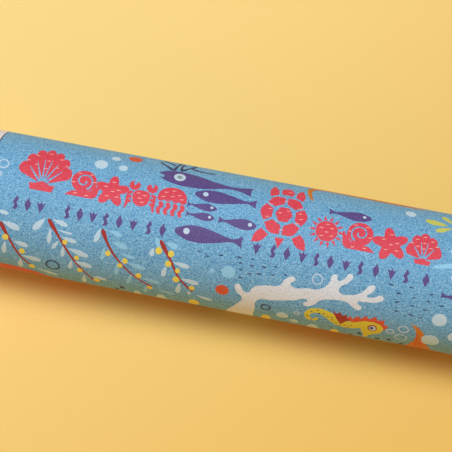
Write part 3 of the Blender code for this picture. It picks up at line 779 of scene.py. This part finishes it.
for name, sheet, ink, level in (
        ("sprig_stems", stems, stem_ink, 2),
        ("yellow_berries", berries, yellow_ink, 3),
        ("pale_leaves", leaves, leaf_ink, 1.4),
        ("light_blue_leaves", blue_leaves, sea_ink, 1),
        ("pale_rings", pale_rings, white_ink, 1.2),
        ("dark_rings", dark_rings, navy_ink, 1.7),
        ("orange_discs", orange_discs, orange_ink, 1),
        ("red_sea_animals", reds, red_ink, 1),
        ("pink_dashes", pinks, pink_ink, 2),
        ("purple_fish", fishes, purple_ink, 1),
        ("fish_eyes", eyes, white_ink, 2.5),
        ("fish_pupils", pupils, grey_ink, 3),
        ("seahorse_pupil", seahorse_pupil, navy_ink, 3)):
    roll_on(name, sheet, ink, level)

# ---------------------------------------------------------------------------------------------
# Eyepiece. An injection-moulded white polystyrene cap, pushed into the tube's end, with a
# shallow dish round its peephole. Behind it sit a clear pane, its snap ring and a black baffle.
# ---------------------------------------------------------------------------------------------
PEEPHOLE = 7 * MM
CAP_HOLLOW = 20.4 * MM
WINDOW_SEAT = 10.3 * MM
COLLAR_WALL = 12 * MM     # outer radius of the short collar that the window is snapped into
CAP_EDGE = 0.3 * MM
RING_EDGE = 0.12 * MM
SPARK_GRAIN = 0.25 * MM   # the mould's etched grain, drawn a little coarser than the real one


def mottled(name, patches, first, second, grain=None, strength=0.0, depth=0.0, **sockets):
    """A material of two mixed colours, with a relief if it has a grain.

    Patches and grain hold a noise's size, detail, roughness and distortion.
    """
    material, tree, shader, place = new_material(name, **sockets)
    paint(tree, shader, mix(tree, noise(tree, place, *patches), first, second))
    if grain:
        emboss(tree, shader, noise(tree, place, *grain), strength, depth)
    return material


def clear_pane(name, colour, roughness, clearness, strength, grain, milk=1.0):
    """Polystyrene sheet: clear, or frosted by an etched pebble on its faces.

    Milk is the share of a face that hides what lies behind it.
    """
    return mottled(name, (6 * MM, 2.0), colour, "#FFFFFF", (grain, 2.0), strength, 0.03 * MM,
                   Roughness=roughness, IOR=1.59, Transmission_Weight=clearness, Alpha=milk)


# Polystyrene from an etched mould is off-white, with a soft shine and a fine pebble.
white_plastic = mottled(
    "moulded_white_polystyrene", (9 * MM, 3.0), "#E4E1E8", "#F3F1F5",
    (SPARK_GRAIN, 2.0), 0.3, 0.02 * MM, Roughness=0.36, IOR=1.59, Subsurface_Weight=0.12,
    Subsurface_Scale=1.5 * MM, Subsurface_Radius=(1.0, 0.9, 0.85))
clear_plastic = clear_pane("clear_polystyrene", "#F4FAFB", 0.03, 1.0, 0.04, 2 * MM)
# Card dyed black right through is dull, with short grey fibres.
card_fibre = (BOARD_FIBRE, 5.0, 0.75)
black_card = mottled("black_dyed_card", card_fibre, "#0E0E10", "#2C2B2D", card_fibre, 0.3,
                     0.05 * MM, Roughness=0.9, Specular_IOR_Level=0.25)
cap_low, cap_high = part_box("eyepiece_cap")
END = cap_high[0]         # the cap's rim, which the other sizes are taken from
CAP_RADIUS = (cap_high[2] - cap_low[2]) / 2
cap_outline = [(cap_low[0], CAP_HOLLOW)]
cap_outline += [(cap_low[0] + x * MM, CAP_RADIUS - drop * MM) for x, drop in ((0.8, 0.3), (2, 0))]
cap_outline += [(END - depth * MM, radius) for depth, radius in (
    (0, CAP_RADIUS), (0, 20 * MM), (0.9, 18.6 * MM), (1.5, 15.5 * MM), (2, 11.5 * MM),
    (2.2, 8.2 * MM), (3.4, PEEPHOLE), (4.6, PEEPHOLE), (4.6, WINDOW_SEAT), (8.5, WINDOW_SEAT),
    (8.5, COLLAR_WALL), (4.6, COLLAR_WALL), (4.6, CAP_HOLLOW))]
finish(turned("eyepiece_cap_moulded", cap_outline, CAP_EDGE),
       white_plastic, "cap_plastic", "tube", "eyepiece_cap")


def ring_for(node, name, inner, material, slot, body):
    """A finely turned ring or disc in a node's place and of its size."""
    low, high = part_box(node)
    outer = (high[2] - low[2]) / 2
    piece = ring(name, low[0], high[0], inner, outer, RING_EDGE)
    return finish(piece, material, slot, body, node)


ring_for("eyepiece_window", "eyepiece_pane", 0, clear_plastic, "clear_plastic", "tube")
ring_for("eyepiece_retaining_ring", "eyepiece_snap_ring", PEEPHOLE + 0.2 * MM, white_plastic,
         "cap_plastic", "tube")
ring_for("front_baffle", "baffle_disc", PEEPHOLE + 0.5 * MM, black_card, "black_card", "tube")

# ---------------------------------------------------------------------------------------------
# Mirrors. Three long strips of front-silvered glass stand in a triangle, inside a folded
# sleeve of black card. Foam pads hold the sleeve in the middle of the tube.
# ---------------------------------------------------------------------------------------------
FOAM_CELL = 0.7 * MM
MIRROR_EDGE = 0.15 * MM


def silvered():
    """Aluminium evaporated on glass: a clear reflection with a faint haze of dust."""
    material, tree, shader, place = new_material("silvered_mirror", Metallic=1.0)
    dust = noise(tree, place, 1.5 * MM, 6.0, 0.7)
    paint(tree, shader, mix(tree, dust, "#DCE2E4", "#F2F5F5"))
    haze = ramp(tree, dust, 0.0, 1.0, 0.02, 0.09)
    tree.links.new(haze, shader.inputs["Roughness"])
    return material


def soft_foam():
    """Open-cell polyurethane foam: grey, full of small round holes that are painted darker as
    painted shade, quite matt.
    """
    material, tree, shader, place = new_material(
        "grey_polyurethane_foam", Roughness=0.95, Specular_IOR_Level=0.2)
    cells = add_node(tree, "ShaderNodeTexVoronoi", {
        "Vector": place, "Scale": 1 / FOAM_CELL}).outputs["Distance"]
    # Painted shade: the foam is painted darker in its holes, where the bump makes pits.
    paint(tree, shader, mix(tree, cells, "#3A3B40", "#77787E"))
    emboss(tree, shader, cells, 0.8, 0.3 * MM)
    return material


mirror_low, mirror_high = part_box("mirror_strip_1")
bpy.ops.object.select_all(action="DESELECT")
bpy.ops.mesh.primitive_cube_add(size=1, location=[
    (low + high) / 2 for low, high in zip(mirror_low, mirror_high)])
mirror = bpy.context.object
mirror.name = "mirror_glass_1"
mirror.scale = [high - low for low, high in zip(mirror_low, mirror_high)]
bpy.ops.object.transform_apply(location=True, rotation=True, scale=True)
round_edges(mirror, MIRROR_EDGE)
# The backs have grey protective lacquer, uneven and half matt.
lacquer = mottled("grey_mirror_lacquer", (4 * MM, 4.0), "#5C6164", "#7C8184", Roughness=0.5)
finish(mirror, lacquer, "mirror", "tube", "mirror_strip_1")
mirror.data.materials.append(silvered())
for face in mirror.data.polygons:
    if face.normal.z > 0.99:
        face.material_index = 1
for number, turn in ((2, 1), (3, 2)):
    copy = mirror.copy()
    copy.data = mirror.data.copy()
    copy.name = f"mirror_glass_{number}"
    bpy.context.scene.collection.objects.link(copy)
    centre = Matrix.Translation((0, 0, AXIS_HEIGHT))
    copy.matrix_world = (
        centre @ Matrix.Rotation(math.radians(120 * turn), 4, "X") @ centre.inverted())
    select_only(copy)
    bpy.ops.object.transform_apply(location=True, rotation=True, scale=True)
    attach(copy, "tube")
    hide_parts(f"mirror_strip_{number}")

foam = soft_foam()
pads = [f"{end}_pad_{number}" for end in ("front", "rear") for number in (1, 2, 3)]
for name, material in [("mirror_card_sleeve", black_card)] + [(pad, foam) for pad in pads]:
    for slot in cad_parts[name].material_slots:
        slot.material = material

# ---------------------------------------------------------------------------------------------
# Bearing. A short board collar stands out of the tube's end, packed out to the tube's bore
# and closed by a clear pane. A moulded flange on it keeps the turning cell on.
# ---------------------------------------------------------------------------------------------
COLLAR_BORE = 18.6 * MM
COLLAR_RADIUS = 20.3 * MM
ring_for("bearing_collar", "bearing_collar_board", COLLAR_BORE, board, "board", "tube")
for node, name, material, slot in (
        ("collar_packing_ring", "collar_packing_board", board, "board"),
        ("collar_flange", "collar_flange_moulded", white_plastic, "cap_plastic")):
    ring_for(node, name, COLLAR_RADIUS, material, slot, "tube")
ring_for("tube_end_window", "tube_end_pane", 0, clear_plastic, "clear_plastic", "tube")

# ---------------------------------------------------------------------------------------------
# Turning cell. A short board sleeve under plain pale paper, flush with the wrap. It turns on
# the collar, held by a moulded keeper ring, and carries two panes on a black card seat and a
# spacer, with the loose pieces between. The outer pane is frosted, so it scatters light.
# ---------------------------------------------------------------------------------------------
CELL_BORE = 22.4 * MM
pale_paper = printed_ink("pale_uncoated_paper", "#E6E2EC", "#D4CEE0", "#F2F0F4", 0.5)
frosted = clear_pane("frosted_polystyrene", "#F8FAFC", 0.3, 0.25, 0.2, 0.5 * MM, 0.17)
cover_low, cover_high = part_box("cell_cover_paper")
finish(ring("pale_paper_cover", cover_low[0], cover_high[0], PAPER_BACK, OUTER_RADIUS,
            PAPER_EDGE, PAPER_STEPS),
       pale_paper, "pale_paper", "object_cell", "cell_cover_paper")
sleeve_low, sleeve_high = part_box("cell_sleeve")
finish(ring("cell_sleeve_board", sleeve_low[0], sleeve_high[0], CELL_BORE, PAPER_BACK, BOARD_EDGE),
       board, "board", "object_cell", "cell_sleeve")
for node, name, inner, material, slot in (
        ("cell_keeper_ring", "cell_keeper_moulded", 20.4 * MM, white_plastic, "cap_plastic"),
        ("cell_seat_ring", "cell_seat_card", 19.0 * MM, black_card, "black_card"),
        ("cell_inner_window", "cell_inner_pane", 0, clear_plastic, "clear_plastic"),
        ("cell_spacer_ring", "cell_spacer_card", 20.0 * MM, board, "board"),
        ("cell_outer_window", "cell_frosted_pane", 0, frosted, "frosted_plastic")):
    ring_for(node, name, inner, material, slot, "object_cell")
rim_low, rim_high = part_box("cell_end_rim")
RIM_RADIUS = (rim_high[2] - rim_low[2]) / 2
rim_outline = [
    (rim_low[0], 20.8 * MM), (rim_low[0], RIM_RADIUS), (rim_high[0], RIM_RADIUS),
    (rim_high[0], 19.2 * MM), (rim_low[0] + 2.9 * MM, 19.4 * MM),
    (rim_low[0] + 1.4 * MM, 20.0 * MM)]
finish(turned("cell_end_rim_moulded", rim_outline, 0.25 * MM),
       white_plastic, "cap_plastic", "object_cell", "cell_end_rim")

# ---------------------------------------------------------------------------------------------
# Loose pieces. Small glossy acrylic beads in bright colours, each of its own shape, that tumble
# between the panes as the cell turns. They lie in a heap at the bottom.
# ---------------------------------------------------------------------------------------------
BEAD_RADIUS = 2.9 * MM
BEAD_THICKNESS = 2.2 * MM
PLATE_EDGE = 0.35 * MM
BEAD_EDGE = 0.18 * MM
TUMBLE = (0.7, 1.1, 0.4)  # how much further each bead is turned than the one before, in radians


def bead_acrylic(name, deep, bright):
    """Dyed acrylic: clear and glossy, with swirls where the dye is thinner."""
    return mottled(name, (1.6 * MM, 2.0, 0.5, 1.2), deep, bright, Roughness=0.06, IOR=1.49,
                   Transmission_Weight=0.2)


bead_colours = {
    "red_bead": bead_acrylic("red_acrylic", "#D01838", "#F05068"),
    "yellow_bead": bead_acrylic("yellow_acrylic", "#EBA812", "#FBD860"),
    "violet_bead": bead_acrylic("violet_acrylic", "#6A38B0", "#A078D8"),
    "blue_bead": bead_acrylic("blue_acrylic", "#1C62C4", "#60A4E8"),
    "green_bead": bead_acrylic("green_acrylic", "#189650", "#66CC88"),
}


def flat_bead(name, points, depth=0.0, waves=0):
    """A round plate of many sides whose rim dips between its waves, pulled out of a disc."""
    bpy.ops.object.select_all(action="DESELECT")
    bpy.ops.mesh.primitive_circle_add(vertices=points, radius=BEAD_RADIUS, fill_type="NGON")
    piece = bpy.context.object
    piece.name = name
    for corner in piece.data.vertices:
        angle = math.atan2(corner.co.y, corner.co.x)
        corner.co *= 1 - depth * (1 - math.cos(waves * angle)) / 2
        corner.co.z = -BEAD_THICKNESS / 2
    bpy.ops.object.mode_set(mode="EDIT")
    bpy.ops.mesh.select_all(action="SELECT")
    bpy.ops.mesh.extrude_region_move(TRANSFORM_OT_translate={"value": (0, 0, BEAD_THICKNESS)})
    bpy.ops.mesh.select_all(action="SELECT")
    bpy.ops.mesh.normals_make_consistent(inside=False)
    bpy.ops.object.mode_set(mode="OBJECT")
    return round_edges(piece, PLATE_EDGE)


def round_bead(name, profile):
    """A bead turned on its own axis, from (x, radius) points in shares of its radius."""
    shares = [(x * BEAD_RADIUS, radius * BEAD_RADIUS) for x, radius in profile]
    piece = turned(name, shares, BEAD_EDGE, steps=40)
    piece.location = (0, 0, -AXIS_HEIGHT)
    bpy.ops.object.transform_apply(location=True, rotation=True, scale=True)
    return piece


arc = [math.radians(a) for a in range(0, 181, 10)]
ball = [(-math.cos(a), math.sin(a)) for a in arc]
barrel = [
    (-0.9, 0), (-0.9, 0.45), (-0.7, 0.58), (-0.4, 0.67), (0, 0.7), (0.4, 0.67), (0.7, 0.58),
    (0.9, 0.45), (0.9, 0)]
drop = [(-0.7, 0), (-0.66, 0.28), (-0.5, 0.5), (-0.25, 0.63), (0, 0.62), (0.35, 0.4),
        (0.7, 0.17), (1.0, 0)]
beads = (
    ("star_bead", "red_bead", flat_bead("star_bead_moulded", 10, 0.55, 5)),
    ("ball_bead", "yellow_bead", round_bead("ball_bead_moulded", ball)),
    ("flower_bead", "violet_bead", flat_bead("flower_bead_moulded", 72, 0.3, 6)),
    ("square_bead", "blue_bead", flat_bead("square_bead_moulded", 4)),
    ("bugle_bead", "green_bead", round_bead(
        "bugle_bead_moulded", [(-0.95, 0.2), (-0.95, 0.45), (0.95, 0.45), (0.95, 0.2)])),
    ("triangle_bead", "yellow_bead", flat_bead("triangle_bead_moulded", 3)),
    ("cone_pair_bead", "red_bead", round_bead(
        "cone_pair_bead_moulded", [(-1.0, 0), (0, 0.85), (1.0, 0)])),
    ("hexagon_bead", "green_bead", flat_bead("hexagon_bead_moulded", 6)),
    ("hoop_bead", "violet_bead", round_bead(
        "hoop_bead_moulded", [(-0.3, 0.45), (-0.3, 0.9), (0.3, 0.9), (0.3, 0.45)])),
    ("drop_bead", "blue_bead", round_bead("drop_bead_moulded", drop)),
    ("disc_bead", "red_bead", flat_bead("disc_bead_moulded", 48)),
    ("barrel_bead", "blue_bead", round_bead("barrel_bead_moulded", barrel)),
)
for number, (node, colour, bead) in enumerate(beads):
    low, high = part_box(node)
    middle = [(a + b) / 2 for a, b in zip(low, high)]
    bead.rotation_euler = [turn * number for turn in TUMBLE]
    select_only(bead)
    bpy.ops.object.transform_apply(location=True, rotation=True, scale=True)
    corners = [vertex.co for vertex in bead.data.vertices]
    own = [(min(c[i] for c in corners) + max(c[i] for c in corners)) / 2 for i in range(3)]
    bead.location = [m - o for m, o in zip(middle, own)]
    bpy.ops.object.transform_apply(location=True, rotation=True, scale=True)
    finish(bead, bead_colours[colour], colour, "loose_pieces", node)

# ---------------------------------------------------------------------------------------------
# The studio: a pale yellow floor, painted paler at the back left and darker at the front right as
# painted light, one large soft light above and a little behind the tube, a weak warm light from all
# sides, and the camera, which looks steeply down.
# ---------------------------------------------------------------------------------------------
FLOOR_SIZE = 6
FLOOR_DROP = 0.1 * MM     # keeps the tube's faces off the floor's
PAINTED_LIGHT_REACH = 230 * MM     # how far from the middle the painted light on the floor keeps changing
bpy.ops.object.select_all(action="DESELECT")
bpy.ops.mesh.primitive_plane_add(size=FLOOR_SIZE, location=(0, 0, -FLOOR_DROP))
floor = bpy.context.object
floor.name = "studio_floor"
floor_card, tree, shader, place = new_material("pale_yellow_card_with_painted_light", Roughness=0.85)
mottle = noise(tree, place, 1.2 * MM, 4.0)
x, y, _ = split(tree, place)
# Painted light: the floor is painted paler towards the back left and darker towards the front
# right.
painted_light_fade = ramp(tree, compute(tree, "SUBTRACT", y, x), -PAINTED_LIGHT_REACH, PAINTED_LIGHT_REACH,
            interpolation_type="SMOOTHSTEP")
# The first pair is the card's mottled yellow darkened as painted shade; the second pair is
# lightened as painted light.
paint(tree, shader, mix(tree, painted_light_fade, mix(tree, mottle, "#EBBE60", "#EFC468"),
                        mix(tree, mottle, "#FCD988", "#FFDF92")))
floor.data.materials.append(floor_card)

world = bpy.data.worlds.new("warm_studio_walls")
bpy.context.scene.world = world
world.use_nodes = True
world.node_tree.nodes["Background"].inputs["Color"].default_value = srgb("#FFE4B8")
world.node_tree.nodes["Background"].inputs["Strength"].default_value = 0.27
bpy.context.scene.view_settings.view_transform = "Standard"

LIGHT_DISTANCE = 1.3
LIGHT_RISE = math.radians(84)
LIGHT_SIDE = -0.12        # how far it stands to the left, as a share of its distance
light_place = Vector((LIGHT_SIDE, math.cos(LIGHT_RISE), math.sin(LIGHT_RISE))) * LIGHT_DISTANCE
bpy.ops.object.light_add(type="AREA", location=light_place)
softbox = bpy.context.object
softbox.name = "softbox"
softbox.data.shape = "SQUARE"
softbox.data.size = 0.6
softbox.data.energy = 14
softbox.data.color = srgb("#F5FBFF")[:3]
softbox.rotation_euler = (-light_place).to_track_quat("-Z", "Y").to_euler()

reflector_place = Vector((0, -0.9, 0.3))
bpy.ops.object.light_add(type="AREA", location=reflector_place)
fill = bpy.context.object
fill.name = "warm_reflector"
fill.data.size = 0.8
fill.data.energy = 1.4
fill.data.color = srgb("#FFB361")[:3]
fill.rotation_euler = (-reflector_place).to_track_quat("-Z", "Y").to_euler()

CAMERA_ELEVATION = math.radians(71.874)
CAMERA_AZIMUTH = math.radians(11.288)
CAMERA_DISTANCE = 469.73 * MM
CAMERA_FIELD = math.radians(20.167)
aim = Vector((5.945 * MM, 5.75 * MM, AXIS_HEIGHT))
sight = Vector((
    math.cos(CAMERA_ELEVATION) * math.sin(CAMERA_AZIMUTH),
    -math.cos(CAMERA_ELEVATION) * math.cos(CAMERA_AZIMUTH),
    math.sin(CAMERA_ELEVATION),
))
bpy.ops.object.camera_add(location=aim + sight * CAMERA_DISTANCE,
                          rotation=(-sight).to_track_quat("-Z", "Y").to_euler())
camera = bpy.context.object
camera.data.sensor_width = 36
camera.data.lens = camera.data.sensor_width / 2 / math.tan(CAMERA_FIELD / 2)
bpy.context.scene.camera = camera
